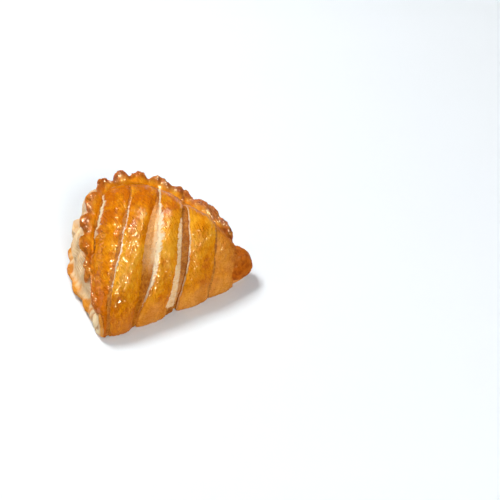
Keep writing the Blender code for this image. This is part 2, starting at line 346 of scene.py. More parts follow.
# The strips of glazed crust between the slashes
strips = {
    "ends": (118, 118, 107, 93, 67),  # run at which each strip has gone under the rim
    "cell": 0.34,  # size of the mesh's cells
    "leftRound": (0.6, 0.8, 1.2, 1.3, 0.4),  # radius of each strip's left edge
    "rightRound": (2.2, 2.4, 1.8, 0.9, 1.0),
    "rightDrop": (1.2, 1.5, 0.8, 0.0, 0.3),  # how far the right edge leans down
    "lift": (0.5, 0.0, 0.2, 0.2, -0.7),  # how proud each strip stands
    "wallPale": (0.5, 1.0, 1.0, 0.1, 0.3),  # how pale or brown the cut at its left is
    "wallBrown": (0.5, 0.1, 0.1, 0.9, 0.8),
    "crown": 1.5,
    "thick": 6.0,
    "wallDepths": (0.08, 0.18, 0.3, 0.43, 0.6, 0.8, 1.0),  # rows of the cut walls, as shares of it
    "rightmost": 46.5,  # no strip reaches past this x
    "lowRight": 2.5,  # and low down they stop this much before it
    "lapsOver": (0, 0, 0, 0.7, 0),  # how far each strip laps over the next one
    "dive": (4.5, 4.5, 3.2, 1.7, 1.5),  # how deep each strip goes down under the rim
    "belly": (0.45, 0.6, 0.56, 0.5, 0.3),  # how golden each strip's middle is
    "lowDark": (0.6, 0.25, 0, 0, 0),  # how much darker it is low down
    "highDark": (0, 0, 0, 0.3, 0.3),  # and high up
    "foldMatt": (0.1, 0.3, 0.7, 0.8, 0.85),  # how dull the glaze is on the fold's side
    # the right edge's browning is painted shade where it turns down into the slash
    "edgeBrown": (0.45, 0.2, 0.4, 0.3, 0.3),  # how brown the right edge is
    "lipSink": 0.15,  # how deep the flakes' feet lie in the torn edge
    # width of the pale torn edge at the left of each strip, every slashes["step"] of run
    "lip": (
        (0, 0, 0, 0, 0.2, 1.1, 1.3, 1.2, 0.2),
        (0, 0, 0.2, 0.9, 1.3, 1.2, 0.9, 0, 0),
        (0, 0.2, 1.3, 2.5, 3.1, 2.6, 0.8, 0, 0),
        (0.1, 0.2, 0.3, 0.4, 0.3, 0.2, 0, 0, 0),
        (0.1, 0.1, 0.1, 0.1, 0.1, 0, 0, 0, 0),
    ),
}


def makeStrip(k):
    runs = np.arange(runFloor + 0.1, strips["ends"][k], strips["cell"])[:, None]
    edge = np.stack([runs * 0 + 7 * k, runs, runs * 0], -1)
    jag = lambda seed: lumpy(0, edge, (0.26, 1.1, seed), (0.45, 4.5, seed + 1))
    left = slashX(k, runs) + slashOpen(k, runs) / 2 + jag(3 + 5 * k)
    right = slashX(k + 1, runs) - slashOpen(k + 1, runs) / 2 + jag(4 + 5 * k)
    rightmost = strips["rightmost"] - strips["lowRight"] * ease(runs, 9, -13)
    right = np.minimum(right + strips["lapsOver"][k], rightmost)
    left = np.minimum(left, right - 0.8)
    width = right - left
    count = int(width.max() / strips["cell"])
    u = np.linspace(0, 1, count)[None]
    u = u - 0.06 * np.sin(2 * np.pi * u)  # closer together at both edges
    x = left + width * u
    base = onSkin(x, runs)
    out = sheetNormals(base)
    gathered = ease(runs, 64, 10) if k < 2 else 1.0  # the sheet lies free at the left corner
    base, inside = heldBack(base, gathered)
    atX, atY = base[..., 0], base[..., 1]
    fromLeft, fromRight = width * u, width * (1 - u)
    closing = ease((runs - strips["ends"][k] + 36) / 22)  # the slashes grow shallow towards the rim
    radius = strips["leftRound"][k] * (1 - 0.5 * closing)
    far = strips["rightRound"][k] * (1 - 0.6 * closing)
    height = strips["crown"] * (np.sin(np.pi * u) ** 0.7 - 0.5) * (1 - 0.7 * closing) + strips["lift"][k]
    height -= radius * (1 - np.sqrt(1 - np.clip(1 - fromLeft / radius, 0, 1) ** 2))
    height -= 0.6 * far * (1 - np.sqrt(1 - np.clip(1 - fromRight / far, 0, 1) ** 2))
    height -= strips["rightDrop"][k] * ease(1 - fromRight / 5) * (1 - closing)
    plan = np.stack([fromLeft + 40 * k, runs + 0 * u, 0 * x + 9 * k], -1)
    patches = ease(noise(plan, 11, 6) * 1.6 + 0.6)
    height = lumpy(height, plan, (0.35, 13, 7), (0.2, 5, 8))
    height = lumpy(height, plan, (0.12, (1.4, 2.4, 2), 9), (0.26, (2.4, 6.5, 3), 68))
    wrinkle = ridges(plan, (1.6, 7.0, 2), 10) * patches
    crossing = ridges(plan, (3.2, 2.4, 2), 60) * ease(noise(plan, 8, 61) * 2)
    pimples = np.clip(noise(plan, 1.5, 11) - 0.2, 0, 1) * ease(noise(plan, 9, 12) * 2 + 0.5)
    height = height + 0.26 * wrinkle + 0.16 * crossing + 0.5 * pimples
    jagged = lumpy(inside, base, (0.9, 2.4, 13), (0.5, 0.9, 14))
    dive = ease(-jagged / 1.3) * ease(atY, 3, 5) * gathered
    low = ease(runs, -1.5, -4)
    height -= 1.6 * ease(1 - inside / 8) * ease(atX, 14, 14)
    height = height * (1 - dive) * (1 - 0.6 * low) - strips["dive"][k] * dive
    top = base + out * height[..., None]
    # the cut walls under both edges, and a plain underside
    thick = strips["thick"] * mix(0.35, 1.0, ease(runs, 50, 14) if k == 0 else 1.0 + 0 * runs)
    steps = np.array(strips["wallDepths"]) * thick
    walls = []
    for end, side in ((0, -1), (-1, 1)):
        across = np.gradient(base, axis=1)[:, end]
        across /= np.linalg.norm(across, axis=-1, keepdims=True)
        reach = 0.25 * noise(np.stack(np.broadcast_arrays(runs, steps * 3, 11.0 * side + k), -1), 1.2, 15)
        walls.append(top[:, end, None] - out[:, end, None] * steps[..., None]
                     + side * across[:, None] * (reach * np.minimum(1, steps / 1.5))[..., None])
    rings = np.concatenate([top, walls[1], walls[0][:, ::-1]], axis=1)
    rings[..., 2] = np.maximum(rings[..., 2], 0.05)
    wall = np.ones(walls[0].shape[:2])
    lip = byRun(strips["lip"][k], runs)
    lip = np.maximum(0, lip * lumpy(1, plan, (0.5, 1.6, 16), (0.5, 5, 18)))
    cut = ease((lip - fromLeft) / (0.35 + 0.5 * lip) + 0.4) * ease(lip / 0.25)
    crest = hump(jagged - 0.2, 0.6) * ease(atX, -9, 6) * ease(atX, 7, -6)
    cut = np.maximum(cut * (1 - dive), crest * ease(noise(plan, 2.5, 62) + 0.7))
    soft = ease(atX, 18, 10)  # the crease is wider and softer at the right
    halfWide = mix(1.4, 2.8, soft)
    # painted shade: along the crease where the strips meet the rim, the crust is painted browner and more
    # toasted, and has no glaze
    creaseShade = ease((halfWide - np.abs(jagged + 0.3)) / (0.7 * halfWide)) * ease(atX, 5, 6)
    towardsCrease = ease(inside, 12, -5) * ease(atX, 14, 8)
    # lighter on the belly, deeper in colour towards the rim and the fold
    tone = 0.26 + hump(runs - 52, 26) * strips["belly"][k] - 0.1 * ease(runs, 78, 20)
    tone = lumpy(tone, plan, (0.36, (8, 12, 9), 63), (0.26, 4, 64))
    tone -= strips["lowDark"][k] * ease(runs, 58 - 24 * k, -26)
    tone -= strips["highDark"][k] * ease(runs, 62, 20)
    # painted light and shade: each strip is painted darker at its right edge, which turns down into the next
    # slash, lighter over its left half, and darker towards the crease at the right
    tone = tone - 0.35 * wrinkle * ease(noise(plan, 6, 65) + 0.5) - 0.1 * ease(1 - fromRight / 4)
    tone = tone + 0.3 * ease((0.55 * width - fromLeft) / width) * (k > 0) - 0.45 * towardsCrease
    scorched = ease(runs, 48, -14) * (k == 1)  # the low end of the second strip's cut
    fold = ease((15 - runs + 5 * noise(plan, 8, 17)) / 14)
    nearNose, rightCut = 0 * x, 1.0
    if k == 4:  # the last strip browns towards the nose
        fold = np.maximum(fold, 0.7)
        nearNose, rightCut = ease((x - 30 + 3 * noise(plan, 4, 19)) / 12), 0.1
    toast = np.maximum(np.maximum(0.55 * ease(-inside / 3 + 0.5), 0.75 * nearNose), 0.85 * creaseShade)
    matt = np.maximum(np.maximum(strips["foldMatt"][k] * fold, 0.45 * towardsCrease), creaseShade)
    # painted shade: the right edge, where it turns down into the next slash, is painted browner
    brown = strips["edgeBrown"][k] * ease(1 - fromRight / 1.8) * (1 - closing)
    brown = np.maximum(brown, mix(0.9, 0.35, soft) * creaseShade)
    masks = {  # on the crust, the right wall and the left wall
        "cut": (cut, rightCut * wall, strips["wallPale"][k] * wall),
        "toast": (toast * (1 - cut), 0 * wall, 0 * wall),
        "matt": (matt, wall, wall),
        "brown": (brown, 0.6 * wall, mix(strips["wallBrown"][k], 1.0, scorched) * wall),
        "tone": (tone, 0.5 * wall, 0.5 * wall),
    }
    torn = (lip[:, 0] > 0.5) & (runs[:, 0] < strips["ends"][k] - 12) & (dive[:, 0] < 0.1)
    lipLine = top[torn, 1] - out[torn, 1] * strips["lipSink"]
    return addLoft(f"strip_{k + 1}", rings, masks), lipLine


# The dough that shows in the slashes
openings = {
    "start": -5.2,  # the run at which they start and end
    "ends": (112, 104, 92, 66),
    "depths": ((1.6, 2.0), (2.2, 3.0), (0.9, 3.4), (1.5, 1.5)),  # at the left and at the right
    "under": 1.6,  # how far it goes on under the strips
    "rightmost": 50.8,
    "thick": 3.0,
    "rowStep": 0.4,
    "columnStep": 0.32,
    # where the pale part of the fourth slash ends, as a share of its width, every 15 of run
    "paleEnd": (0.66, 0.56, 0.38, 0.27, 0.3, -0.1, -0.3, -0.3),
}


def makeOpening(k):
    runs = np.arange(openings["start"], openings["ends"][k - 1], openings["rowStep"])[:, None]
    half = slashOpen(k, runs) / 2
    count = int((2 * half.max() + 2 * openings["under"]) / openings["columnStep"]) + 2
    u = np.linspace(0, 1, count)[None]
    reach = half + openings["under"]
    x = np.minimum(slashX(k, runs) + (2 * u - 1) * reach, openings["rightmost"])
    share = np.clip((x - slashX(k, runs)) / (2 * half) + 0.5, 0, 1)
    base = onSkin(x, runs)
    out = sheetNormals(base)
    plan = np.stack([x, runs + 0 * u, 0 * x + 31 * k], -1)
    turned = 0.5
    if k == 3:
        turned = byRun(openings["paleEnd"], np.clip(runs, 0, 104))
    depth = mix(*openings["depths"][k - 1], ease((share - turned) / 0.3 + 0.5))
    depth = depth * np.minimum(1, 0.4 + half / 4)
    layers = ridges(plan, (1.3, 12, 2), 21)
    fibres = noise(plan, (3, 0.9, 2), 26)
    height = lumpy(-depth + 0.25 * layers, plan, (0.3, 4, 22), (0.1, 1.3, 23)) + 0.22 * fibres
    base, inside = heldBack(base)
    height -= 4 * ease(-inside / 2)
    top = base + out * height[..., None]
    down = out * openings["thick"]
    rings = np.concatenate([top, (top - down)[:, ::-1]], axis=1)
    rings[..., 2] = np.maximum(rings[..., 2], 0.03)
    torn = lumpy(0, plan, (0.1, 1.6, 24), (0.1, 5, 25)) + 0.22 * fibres
    if k == 3:
        brown = mix(0.5, 0.78, ease(runs, 8, 20)) * ease((share - turned + torn) / 0.2 + 0.5)
        brown = np.maximum(brown, 0.9 * ease((2.2 - runs + 6 * torn) / 1.2))
        cut = 0.78 - 0.5 * brown - 0.35 * ease(0.3 - fibres)
    elif k == 2:
        low = ease(runs, 48, -18)
        brown = 0.35 * ease((0.5 - share + torn) / 0.4) + 0.8 * low
        cut = (0.25 + 0.5 * ease((share - 0.45 + torn) / 0.5)) * (1 - 0.8 * low)
    else:
        brown, cut = 0.85, 0.2
    brown = np.maximum(brown, 0.8 * ease(runs, 80, 12) + 0 * x)
    below = np.zeros_like(brown)
    masks = {  # on the crumb and on its hidden side
        "cut": (cut + 0.15 * layers - 0.1, below),
        "brown": (brown, below),
        "tone": (below + 0.4, below),
        "matt": (1 + below, below),
    }
    return addLoft(f"opening_{k + 1}", rings, masks)


# The body: the underside, the lower sheet's edge, the layered wall and the fluted rim. It goes
# on under the strips.
body = {
    "rimColumns": 560,
    "foldColumns": 72,
    "rows": ((0, 1, 4), (1, 4, 19), (4, 8, 56), (8, 10, 22), (10, 12, 18)),  # from, to, how many
    # rings under the strips and on the underside, as shares of the way out from the middle
    "innerRings": (*np.arange(0.99, 0.83, -0.012), 0.78, 0.64, 0.48, 0.3, 0.14),
    "underRings": (0.25, 0.5, 0.75, 0.92),
    "wallFoot": 9.0,  # height of the wall's foot
    "wallTop": 8.5,  # and how far its top is below the rim
    "tuck": 3.5,  # how far the fold's side lies behind the strips
    "openEnd": 50.9,  # but not at the left corner, where the fold's end shows
    "sink": 7.0,  # and how far the crust does
    "lowerFlute": 1.1,
    "upperFlute": 1.7,
    "fluteLift": 0.8,
    "lobe": 0.3,  # swelling of each flute of the rim
    "furrow": 0.35,  # depth of the folds between the flutes
    "wallLobe": 2.4,
    "ledges": ((0.692, 0.055, 6.15, 3.4), (0.6, 0.03, 7.0, 1.0)),  # turn, half width, level, step in
    "cornerSwell": 1.8,  # how far the lowest layers stand out at the left corner
    "lifts": ((0.474, 1.8), (0.415, -1.2)),  # flutes that stand higher or lower, and how much
    "lump": (-42.9, 31.4, 20.0),  # a lump of browned dough under the last flute
    "cuts": ((31.8, 48.9, 36.6, 56.7), (41.9, 31.0, 44.6, 39.8)),  # the slashes' ends across the rim
}


def evenTurns():
    turns, passed = [], []
    for begin, count in ((0.0, body["rimColumns"]), (1.0, body["foldColumns"])):
        fine = begin + np.linspace(0, 1, 6001)
        x, y = planOutline(fine, 0.0)
        length = np.append(0, np.cumsum(np.hypot(np.diff(x), np.diff(y))))
        at = np.arange(count) / count
        turns.append(np.interp(at * length[-1], length, fine))
        passed.append(at * (1 - begin))
    return np.concatenate(turns), np.concatenate(passed)


def sideLevel(turn, passed, level):
    inset, base, rise, lowerShare, upperShare = rimSide[level]
    weight = np.where(turn > 1, 0, ease(turn / 0.05) * ease(turn, 1, -0.05))
    spread = rounded(pastry["upperSpread" if base == "rim" else "lowerSpread"], turn)
    low = level < len(foldSide)
    foldInset = foldSide[level][0] if low else foldTop[level - len(foldSide)]
    tuck = body["tuck"] * ease(planOutline(turn, 0.0)[0], -body["openEnd"], 1.6)
    x, y = planOutline(turn, mix(foldInset + tuck, inset - spread, weight))
    foldZ = squashed(foldSide[level][1], rimLimit(x, y)) if low else crustHeight(x, y)
    rim = rounded(pastry["rimHeights"], turn)
    wall = mix(body["wallFoot"], rim - body["wallTop"], rise)
    rimZ = {"floor": rise, "wall": wall, "rim": rise + rim}[base]
    upper = upperShare * fluteWave(passed, 0.0) * weight
    lower = lowerShare * fluteWave(passed, 0.5) * weight * np.clip(8 * (1 - turn), 0, 1)
    out = np.stack([x / pastry["halfLength"] ** 2, np.maximum(y, 0) / pastry["depth"] ** 2], -1)
    out /= np.linalg.norm(out, axis=-1, keepdims=True) + 1e-9
    depth = mix(0.45, 1.0, ease(turn, 0.28, 0.15))  # the flutes are shallower at the right
    push = (body["lowerFlute"] * lower + body["upperFlute"] * depth * upper)[:, None]
    xy = np.stack([x, y], -1) + out * push
    return np.concatenate([xy, (mix(foldZ, rimZ, weight) + body["fluteLift"] * upper)[:, None]], 1)


def pastFirst(x, run):  # how far to the right of the first strip's left end
    return x - slashX(0, np.clip(run, 0, 119))


def groove(past):  # along the first strip's left end
    return 0.9 * hump(past - 0.2, 0.9)


def sunk(inside, past):  # how deep the crust goes on under the strips
    return body["sink"] * ease(inside / 3 + 0.45) * ease(past, 0.8, 1.2)


def makeBody():
    turn, passed = evenTurns()
    coarse = np.array([sideLevel(turn, passed, level) for level in range(len(rimSide))])
    level = np.concatenate([np.linspace(*part)[:-1] for part in body["rows"]] + [[body["rows"][-1][1]]])
    side = through(coarse, level)
    out = sheetNormals(side, wrap=True)
    columns = side.shape[1]
    level = level[:, None] + np.zeros(columns)
    weight = np.where(turn > 1, 0, ease(turn / 0.04) * ease(turn, 1, -0.04))[None]
    upper, lower = fluteWave(passed, 0.0)[None], fluteWave(passed, 0.5)[None]
    onRim = ease(level, 8.2, 0.6) * ease(level, 11.9, -1.2) * weight
    onWall = ease(level, 4, 0.8) * ease(level, 8.5, -0.6) * weight
    onEdge = ease(level, 0.7, 0.5) * ease(level, 4.4, -0.8) * weight
    x, y, z = side[..., 0], side[..., 1], side[..., 2]
    push = onRim * (body["lobe"] * upper - body["furrow"] * ease(upper, -0.25, -0.6))
    push += onRim * lumpy(0, side, (0.9, 6, 31), (0.6, 2.6, 32), (0.28, 1.2, 33))
    push += onRim * 0.25 * ridges(side, (2.6, 2.6, 4), 34) * ease(noise(side, 6, 69) * 2)
    folds = ease(lower * 0.8 + 0.5) * ease(level, 4.6, 1.6) * ease(level, 8.3, -0.6)
    push += onWall * (body["wallLobe"] * folds + 0.8 * noise(side * (1, 1, 0.35), 7, 38))
    push += onWall * 0.3 * noise(side * (1, 1, 2.2), 9, 35)
    push += onEdge * lumpy(0, side, (0.35, 3, 39), (0.12, 1.2, 40))
    for at, half, above, depth in body["ledges"]:
        push -= onWall * depth * ease(2 - 2 * np.abs(turn - at) / half) * ease(level, above, 0.3)
    lump = np.exp(-((side - body["lump"]) ** 2).sum(-1) / 14)
    push += 4.5 * lump
    # the end of the fold at the left corner, where the layers lie round each other
    wobble = 1.3 * noise(side, 5, 78)
    oval = np.hypot((y - 7.5 + wobble) / 10.0, (z - 7.5 + wobble) / 8.0)
    atEnd = ease(oval, 1.12, -0.2) * ease(-x, 42, 3) * ease(y + 1.4 - 0.35 * np.maximum(0, z - 9))
    coil = np.abs(np.sin(np.pi * (1.45 * oval + 0.25 * noise(side, 4, 66) + 0.1)))
    push -= atEnd * (0.55 - 0.5 * coil)
    corner = ease(2 - np.abs(turn - 0.965) / 0.018)
    push += body["cornerSwell"] * corner * ease(level) * ease(level, 5, -2)
    side = side + out * push[..., None]
    across = np.zeros_like(x)
    nowX, nowY, nowZ = side[..., 0], side[..., 1], side[..., 2]
    # the slashes' ends cut shallow grooves across the rim, which are also painted brown as painted shade in
    # them
    for x1, y1, x2, y2 in body["cuts"]:
        long = math.hypot(x2 - x1, y2 - y1)
        aside = ((nowX - x1) * (y2 - y1) - (nowY - y1) * (x2 - x1)) / long
        along = ((nowX - x1) * (x2 - x1) + (nowY - y1) * (y2 - y1)) / long
        near = hump(aside + 0.3 * noise(side, 3, 45), 0.8)
        near = near * ease(along, -4, 2) * ease(along, long + 4, -3)
        across = np.maximum(across, near * ease(level, 8.8, 0.4))
    nowZ -= 1.4 * across
    for at, lift in body["lifts"]:
        nowZ += lift * hump(passed - at, 0.022) * ease(level - 8.2) * ease(level, 12, -1.5)
    run = nowY + nowZ
    insideCrease = rimTerms(nowX, nowY)[1]
    past = pastFirst(nowX, run)
    nowZ -= groove(past) * ease(level - 9) * (run > 58)
    nowZ -= sunk(insideCrease, past) * ease(level - 8.5) * (turn <= 1)
    underNose = np.where(turn > 1, 1.0, ease(2.2 - turn / 0.012))
    nowZ *= mix(1.0, 0.72, ease(level, 3, 4) * underNose)
    np.maximum(nowZ, 0, out=nowZ)
    centre = np.array(pastry["centre"])
    inner, under, beyond = [], [], []
    for share in body["innerRings"]:
        xy = mix(centre, side[-1, :, :2], share)
        height = crustHeight(xy[:, 0], xy[:, 1])
        past = pastFirst(xy[:, 0], xy[:, 1] + height)
        flat = np.stack([xy[:, 0], xy[:, 1], 0 * height], 1)
        lumps = lumpy(0, flat, (0.35, 4, 76), (0.2, 1.6, 77)) - groove(past)
        height -= sunk(rimTerms(xy[:, 0], xy[:, 1])[1], past)
        height += lumps * ease(share, 1, -0.02)
        inner.append(np.concatenate([xy, height[:, None]], 1))
        beyond.append(ease(0.2 - past / 1.2))  # the crust left of the first strip
    for share in body["underRings"]:
        under.append(np.concatenate([mix(centre, side[0, :, :2], share), np.zeros((columns, 1))], 1))
    beyond = np.array(beyond)
    rings = np.concatenate([np.array(under), side, np.array(inner)])
    top = float(crustHeight(np.array(0.0), np.array(centre[1]))) - body["sink"]

    def whole(values, below, above, crusty):  # with the rings of the underside and under the strips
        return [np.concatenate([np.full((len(under), columns), below), values, mix(above, crusty, beyond)])]

    bare = ease(0.2 - pastFirst(nowX, nowY + nowZ) / 1.2)  # not under the strips
    rough, fine = noise(side, 5, 41), noise(side, 2.2, 42)
    pale = ease(level - 2.5 - ease(lower) + 0.9 * rough) * weight * ease((8.35 - level + 0.4 * fine) / 0.5)
    golden = ease((noise(side * (1, 1, 0.6), 8, 67) + 0.15 * fine - 0.2) / 0.3) * ease(level, 7.0, -2)
    pale = np.maximum(pale * (1 - 0.75 * golden), atEnd) * (1 - 0.2 * ease(noise(side, 4, 43) * 2 - 0.2))
    lump = ease(lump * 2.2 - 0.3 + 0.3 * fine)
    border = hump(oval - 1.0, 0.13) * ease(-x, 43, 3)  # round the fold's end
    pale = pale * (1 - lump) * (1 - 0.8 * border)
    low = ease((1.6 - np.abs(z - 1.4)) / 1.4) * weight  # the lower sheet's browned edge
    toast = onRim * (0.74 + 0.1 * upper + 0.4 * noise(side, 5, 44)) * ease(level, 12.0, -1.4)
    toast = toast * mix(1.35, 0.85, ease(turn[None], 0.52, 0.12))
    # painted shade: the folds between the rim's flutes and the crease where the strips meet the rim are
    # painted browner
    crease = ease(1 - np.abs(insideCrease) / 1.3) * ease(level - 9) * (1 - 0.9 * bare)
    furrow = onRim * ease(upper, -0.35, -0.5) * 0.6 + 1.2 * crease
    shade = 0.7 * atEnd * ease(coil, 0.55, -0.4) + 0.3 * border
    matt = (1 - ease(level, 8.2, 0.6)) * (1 - lump) * mix(1.0, 0.5, ease(level, 4.4, -0.8) * weight)
    masks = {
        "cut": whole(pale * mix(0.72, 1.0, atEnd), 0, 0, 0),
        "toast": whole(np.maximum(toast, 0.8 * lump), 0.6, 0, 0.15),
        "matt": whole(matt, 1, 1, 0),
        "brown": whole(np.clip(0.5 * furrow + shade + 0.3 * low * (1 - pale) + across, 0, 1), 0.3, 1, 0),
        "tone": whole(0.5 + 0.5 * rough + 0.15 * upper, 0.5, 0.5, 0.4),
    }
    return addLoft("body", rings, masks, [[*centre, 0], [*centre, top]]), side, level[:, 0], turn


# The round end of the dough that bulges out at the right corner
nose = {
    "at": (39.5, 5.0, 11.7),
    "halfSize": (13.2, 13.0, 11.6),
    "hold": 3.0,  # how far the last strip presses it in
    "right": 52.69,  # it doesn't reach past this x
    "rows": 110,
    "columns": 200,
}


def makeNose():
    tilt = np.linspace(0, np.pi, nose["rows"])[1:-1, None]
    turn = np.linspace(0, 2 * np.pi, nose["columns"], endpoint=False)[None]
    way = np.stack([np.sin(tilt) * np.cos(turn), np.sin(tilt) * np.sin(turn), -np.cos(tilt) + 0 * turn], -1)
    points = nose["at"] + way * nose["halfSize"]
    behind = ease(way @ (-0.62, -0.78, 0.0), -0.25, 0.9)  # the side that the last strip covers
    push = lumpy(-nose["hold"] * behind, points, (0.45, 8, 51), (0.2, 3, 52), (0.07, 1.2, 53))
    push -= 0.25 * ease(1 - np.abs(points[..., 2] - 8.2 - noise(points, 9, 54)) / 0.9)
    push += 0.35 * ease(points[..., 2], 17, 3) * ridges(points, 3, 55)
    points = points + way * push[..., None]
    points[..., 2] = np.maximum(points[..., 2], 0.04)
    points[..., 0] = np.minimum(points[..., 0], nose["right"])
    masks = {
        "toast": [1.0 + 0.1 * noise(points, 6, 56)],
        "matt": [0.85 + 0.2 * noise(points, 5, 57)],
        "brown": [0.3 * ease(noise(points, 7, 58) * 1.5)],
        "tone": [0.3 + 0 * behind],
    }
    return addLoft("nose", points, masks)


class Link:  # a node's output that Python sums can use
    def __init__(self, tree, socket):
        self.tree, self.socket = tree, socket

    def sum(self, operation, a, b):
        return self.tree.node("ShaderNodeMath", {"operation": operation}, {0: a, 1: b})

    def __add__(self, other):
        return self.sum("ADD", self, other)

    def __radd__(self, other):
        return self.sum("ADD", other, self)

    def __sub__(self, other):
        return self.sum("SUBTRACT", self, other)

    def __rsub__(self, other):
        return self.sum("SUBTRACT", other, self)

    def __mul__(self, other):
        return self.sum("MULTIPLY", self, other)

    def __rmul__(self, other):
        return self.sum("MULTIPLY", other, self)

    def __rtruediv__(self, other):
        return self.sum("DIVIDE", other, self)

    def rise(self, low, high):  # 0 below low and 1 above high
        ends = {"Value": self, "From Min": low, "From Max": high}
        return self.tree.node("ShaderNodeMapRange", {"interpolation_type": "SMOOTHSTEP"}, ends)


def srgb(code):  # "#RRGGBB" as a linear colour
    parts = [int(code[i:i + 2], 16) / 255 for i in (1, 3, 5)]
    return [p / 12.92 if p < 0.04045 else ((p + 0.055) / 1.055) ** 2.4 for p in parts] + [1.0]


class Tree:  # a tree of nodes
    def node(self, kind, settings, values, output=0):
        made = self.tree.nodes.new(kind)
        for name, setting in settings.items():
            if name == "stops":
                ramp = made.color_ramp.elements
                while len(ramp) < len(setting):
                    ramp.new(0.5)
                for stop, (position, colour) in zip(ramp, setting):
                    stop.position, stop.color = position, colour
            else:
                setattr(made, name, setting)
        self.feed(made, values)
        return Link(self, made.outputs[output])

    def feed(self, made, values):
        for name, value in values.items():
            if isinstance(value, Link):
                self.tree.links.new(value.socket, made.inputs[name])
            else:
                made.inputs[name].default_value = value


class Paint(Tree):  # the nodes of one material
    def __init__(self, name):
        self.material = bpy.data.materials.new(name)
        self.material.use_nodes = True
        self.tree = self.material.node_tree
        self.shader = self.tree.nodes["Principled BSDF"]
        self.place = self.node("ShaderNodeTexCoord", {}, {}, "Object")

    def mask(self, name):
        return self.node("ShaderNodeAttribute", {"attribute_name": name}, {}, "Fac")

    def grain(self, size, detail=3.0, rough=0.55, place=None):  # noise with lumps of this many millimetres
        values = {"Vector": place or self.place, "Scale": 1000 / size, "Detail": detail, "Roughness": rough}
        return self.node("ShaderNodeTexNoise", {}, values, "Fac")

    def blend(self, a, b, share):
        return self.node("ShaderNodeMix", {"data_type": "RGBA"}, {0: share, 6: a, 7: b}, 2)


class Growth(Tree):  # geometry nodes with named sizes, grown on lines
    def __init__(self, name, sizes):
        self.tree = bpy.data.node_groups.new(name, "GeometryNodeTree")
        kinds = {float: "NodeSocketFloat", int: "NodeSocketInt", type(material): "NodeSocketMaterial"}
        sockets = self.tree.interface
        sockets.new_socket("Lines", in_out="INPUT", socket_type="NodeSocketGeometry")
        sockets.new_socket("Grown", in_out="OUTPUT", socket_type="NodeSocketGeometry")
        self.sizes, self.keys = {**sizes, "Crust": material}, {}
        for size, value in self.sizes.items():
            made = sockets.new_socket(size, in_out="INPUT", socket_type=kinds[type(value)])
            self.keys[size] = made.identifier
        self.start = self.tree.nodes.new("NodeGroupInput")
        self.curve = self.node("GeometryNodeMeshToCurve", {}, {0: self.size("Lines")})

    def size(self, name):
        return Link(self, self.start.outputs[name])

    def steady(self, low, high):  # a random vector between two, set by the seed
        values = {0: low, 1: high, "Seed": self.size("Seed")}
        return self.node("FunctionNodeRandomValue", {"data_type": "FLOAT_VECTOR"}, values)

    def grain(self, scale, output):  # noise, as a number from output 0 or a vector from 1
        values = {"Scale": scale, "W": self.size("Seed")}
        return self.node("ShaderNodeTexNoise", {"noise_dimensions": "4D"}, values, output)

    def vector(self, x=0.0, y=0.0, z=0.0):
        return self.node("ShaderNodeCombineXYZ", {}, {0: x, 1: y, 2: z})

    def scaled(self, vector, share):
        return self.node("ShaderNodeVectorMath", {"operation": "SCALE"}, {0: vector, "Scale": share})

    def finish(self, shape):
        shape = self.node("GeometryNodeRealizeInstances", {}, {0: shape})
        shape = self.node("GeometryNodeSetMaterial", {}, {0: shape, "Material": self.size("Crust")})
        self.feed(self.tree.nodes.new("NodeGroupOutput"), {0: shape})

    def grow(self, name, lines, masksFor):  # lines are rows of points in millimetres
        points = np.concatenate(lines)
        edges, first = [], 0
        for line in lines:
            edges += [(first + i, first + i + 1) for i in range(len(line) - 1)]
            first += len(line)
        mesh = bpy.data.meshes.new(name + "_lines")
        mesh.from_pydata(inFrame(points).tolist(), edges, [])
        source = addObject(name + "_lines", mesh)
        modifier = source.modifiers.new("grow", "NODES")
        modifier.node_group = self.tree
        for size, value in self.sizes.items():
            modifier[self.keys[size]] = value
        evaluated = source.evaluated_get(bpy.context.evaluated_depsgraph_get())
        grown = bpy.data.meshes.new_from_object(evaluated)
        source.modifiers.remove(modifier)
        bpy.data.objects.remove(source)
        found = np.empty(len(grown.vertices) * 3)
        grown.vertices.foreach_get("co", found)
        found = insideBox(found.reshape(-1, 3))
        grown.vertices.foreach_set("co", found.reshape(-1))
        addMasks(grown, masksFor(found * 1000 - pastry["toFrame"]))
        grown.shade_smooth()
        grown.name = name
        return addObject(name, grown)


# The edges of the baked layers along the wall
wallLayers = {
    "Thickness": 0.0009, "Sides": 6, "Ripple": 0.0004, "Ripple Length": 0.004, "Thinnest": 0.1, "Seed": 7,
}
layerLines = {
    "count": 13,
    "sink": 0.2,  # how deep they lie in the wall
    "hide": 1.5,  # and how much deeper they go beside the lump
    "foot": 4.7,  # the level where they start, and the levels that they cover
    "spread": 3.5,
    "from": 0.035,  # the part of the rim that they follow
    "to": 0.93,
}


